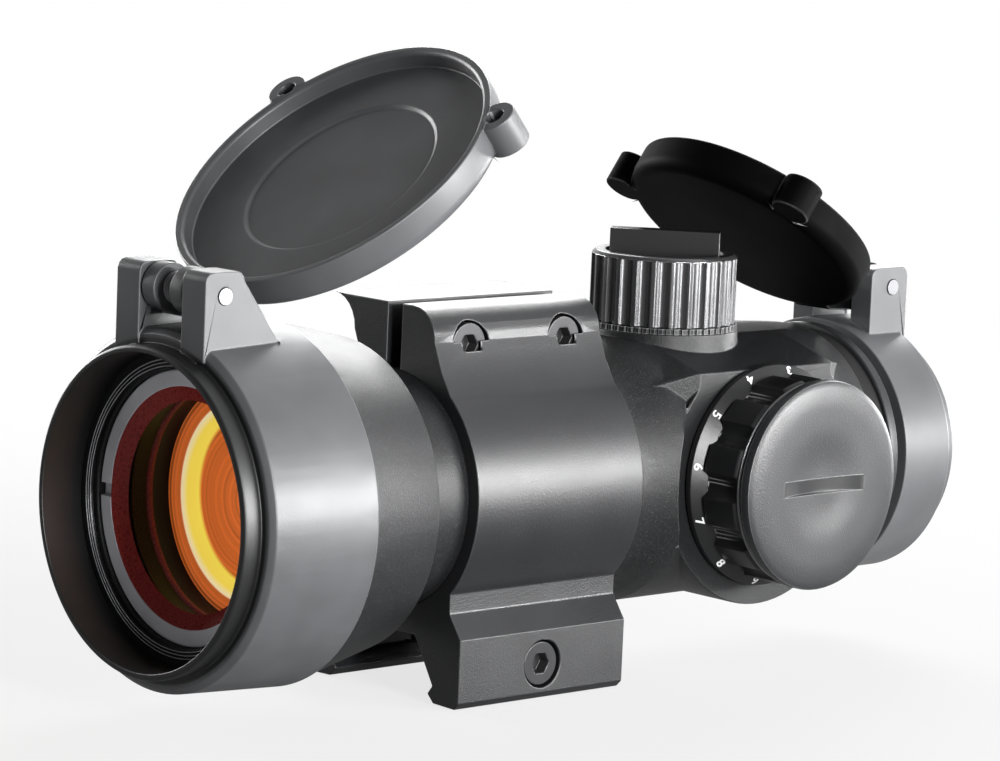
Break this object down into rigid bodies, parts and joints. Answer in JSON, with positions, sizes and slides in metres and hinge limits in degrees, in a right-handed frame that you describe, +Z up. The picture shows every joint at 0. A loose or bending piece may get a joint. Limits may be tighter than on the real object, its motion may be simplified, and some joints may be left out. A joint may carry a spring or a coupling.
{
  "type": "red dot sight",
  "caption": "Tube red dot sight with flip-up lens covers, a split ring clamp with a rail jaw, fluted turret caps and a side brightness dial with a coin-slot battery cap.",
  "frame": {"origin": "rail seat: the flat underside of the clamp base that rests on the rail's top, at the clamp's centre", "axes": "+X back along the tube from the objective to the eyepiece, +Y to the windage side, away from the brightness dial, +Z up"},
  "size_m": [0.1273, 0.0567, 0.0807],
  "materials": {
    "cover_plastic": "satin black",
    "housing_metal": "matte sand-textured dark grey anodised",
    "clamp_metal": "matte grey anodised",
    "knob_metal": "satin black anodised",
    "ring_metal": "brushed",
    "steel": "satin",
    "screw_steel": "black oxide",
    "rubber": "matte",
    "objective_glass": "red reflective coating",
    "window_glass": "polished",
    "board": "satin",
    "emitter_plastic": "polished"
  },
  "bodies": {
    "sight": {"main_housing": "housing_metal", "objective_ring": "ring_metal", "objective_window": "window_glass", "objective_lens": "objective_glass", "ocular_window": "window_glass", "ocular_ring": "knob_metal", "rear_gasket": "rubber", "lock_ring": "ring_metal", "front_collar": "cover_plastic", "front_hinge_pin": "steel", "front_lid_spring": "steel", "rear_collar": "cover_plastic", "rear_hinge_pin": "steel", "rear_lid_spring": "steel", "elevation_index_ring": "knob_metal", "windage_index_ring": "knob_metal", "return_spring": "steel", "switch_board": "board", "detent_ball": "steel", "detent_spring": "steel", "ring_clamp": "clamp_metal", "clamp_screw_1": "screw_steel", "clamp_screw_2": "screw_steel"},
    "front_lid": {"front_lid": "cover_plastic"},
    "rear_lid": {"rear_lid": "cover_plastic"},
    "elevation_cap_lift": {"elevation_cap_seal": "rubber"},
    "elevation_cap": {"elevation_cap": "knob_metal"},
    "windage_cap_lift": {"windage_cap_seal": "rubber"},
    "windage_cap": {"windage_cap": "knob_metal"},
    "elevation_screw": {"elevation_screw": "ring_metal"},
    "elevation_plunger": {"elevation_plunger": "steel"},
    "windage_screw": {"windage_screw": "ring_metal"},
    "windage_plunger": {"windage_plunger": "steel"},
    "pivot_ring": {"pivot_ring": "steel"},
    "optical_carrier": {"optical_carrier": "knob_metal", "emitter": "emitter_plastic", "emitter_bracket": "board"},
    "dial": {"dial": "knob_metal", "cell_contact": "steel", "coin_cell": "steel"},
    "battery_cap_lift": {"battery_cap_seal": "rubber"},
    "battery_cap": {"battery_cap": "housing_metal"},
    "cross_bolt": {"cross_bolt": "screw_steel"},
    "rail_jaw": {"rail_jaw": "clamp_metal", "cross_bolt_nut": "screw_steel"}
  },
  "joints": [
    {"name": "front_lid_hinge", "type": "hinge", "parent": "sight", "child": "front_lid", "pos_m": [-0.048, 0, 0.0444], "axis": [0, -1, 0], "range_deg": [0, 230.5]},
    {"name": "rear_lid_hinge", "type": "hinge", "parent": "sight", "child": "rear_lid", "pos_m": [0.069, 0, 0.0397], "axis": [0, 1, 0], "range_deg": [0, 233.5]},
    {"name": "elevation_cap_rise", "type": "slide", "parent": "sight", "child": "elevation_cap_lift", "axis": [0, 0, 1], "range_m": [0, 0.003]},
    {"name": "elevation_cap_turn", "type": "hinge", "parent": "elevation_cap_lift", "child": "elevation_cap", "pos_m": [0.0325, 0, 0.0177], "axis": [0, 0, 1], "range_deg": [0, 720]},
    {"name": "windage_cap_rise", "type": "slide", "parent": "sight", "child": "windage_cap_lift", "axis": [0, 1, 0], "range_m": [0, 0.003]},
    {"name": "windage_cap_turn", "type": "hinge", "parent": "windage_cap_lift", "child": "windage_cap", "pos_m": [0.0325, 0, 0.0177], "axis": [0, 1, 0], "range_deg": [0, 720]},
    {"name": "elevation_screw_turn", "type": "hinge", "parent": "sight", "child": "elevation_screw", "pos_m": [0.0325, 0, 0.0177], "axis": [0, 0, 1], "range_deg": [-360, 360]},
    {"name": "elevation_plunger_slide", "type": "slide", "parent": "sight", "child": "elevation_plunger", "axis": [0, 0, 1], "range_m": [-0.0005, 0.0005]},
    {"name": "windage_screw_turn", "type": "hinge", "parent": "sight", "child": "windage_screw", "pos_m": [0.0325, 0, 0.0177], "axis": [0, 1, 0], "range_deg": [-360, 360]},
    {"name": "windage_plunger_slide", "type": "slide", "parent": "sight", "child": "windage_plunger", "axis": [0, 1, 0], "range_m": [-0.0005, 0.0005]},
    {"name": "carrier_pitch", "type": "hinge", "parent": "sight", "child": "pivot_ring", "pos_m": [-0.014, 0, 0.0177], "axis": [0, 1, 0], "range_deg": [-0.62, 0.62]},
    {"name": "carrier_yaw", "type": "hinge", "parent": "pivot_ring", "child": "optical_carrier", "pos_m": [-0.014, 0, 0.0177], "axis": [0, 0, 1], "range_deg": [-0.62, 0.62]},
    {"name": "dial_turn", "type": "hinge", "parent": "sight", "child": "dial", "pos_m": [0.0374, 0, 0.0177], "axis": [0, -1, 0], "range_deg": [-150, 150]},
    {"name": "battery_cap_rise", "type": "slide", "parent": "dial", "child": "battery_cap_lift", "axis": [0, -1, 0], "range_m": [0, 0.003]},
    {"name": "battery_cap_turn", "type": "hinge", "parent": "battery_cap_lift", "child": "battery_cap", "pos_m": [0.0374, 0, 0.0177], "axis": [0, -1, 0], "range_deg": [0, 720]},
    {"name": "cross_bolt_turn", "type": "hinge", "parent": "sight", "child": "cross_bolt", "pos_m": [0, 0, -0.0036], "axis": [0, -1, 0], "range_deg": [0, 1440]},
    {"name": "rail_jaw_slide", "type": "slide", "parent": "sight", "child": "rail_jaw", "axis": [0, 1, 0], "range_m": [0, 0.002]}
  ],
  "couplings": [
    {"joint": "elevation_cap_rise", "follows": "elevation_cap_turn", "m_per_rad": 0.00023873},
    {"joint": "windage_cap_rise", "follows": "windage_cap_turn", "m_per_rad": 0.00023873},
    {"joint": "battery_cap_rise", "follows": "battery_cap_turn", "m_per_rad": 0.00023873},
    {"joint": "elevation_screw_turn", "follows": "elevation_plunger_slide", "rad_per_m": 12566},
    {"joint": "carrier_pitch", "follows": "elevation_plunger_slide", "rad_per_m": -21.505},
    {"joint": "windage_screw_turn", "follows": "windage_plunger_slide", "rad_per_m": 12566},
    {"joint": "carrier_yaw", "follows": "windage_plunger_slide", "rad_per_m": 21.505},
    {"joint": "cross_bolt_turn", "follows": "rail_jaw_slide", "rad_per_m": 12566}
  ]
}
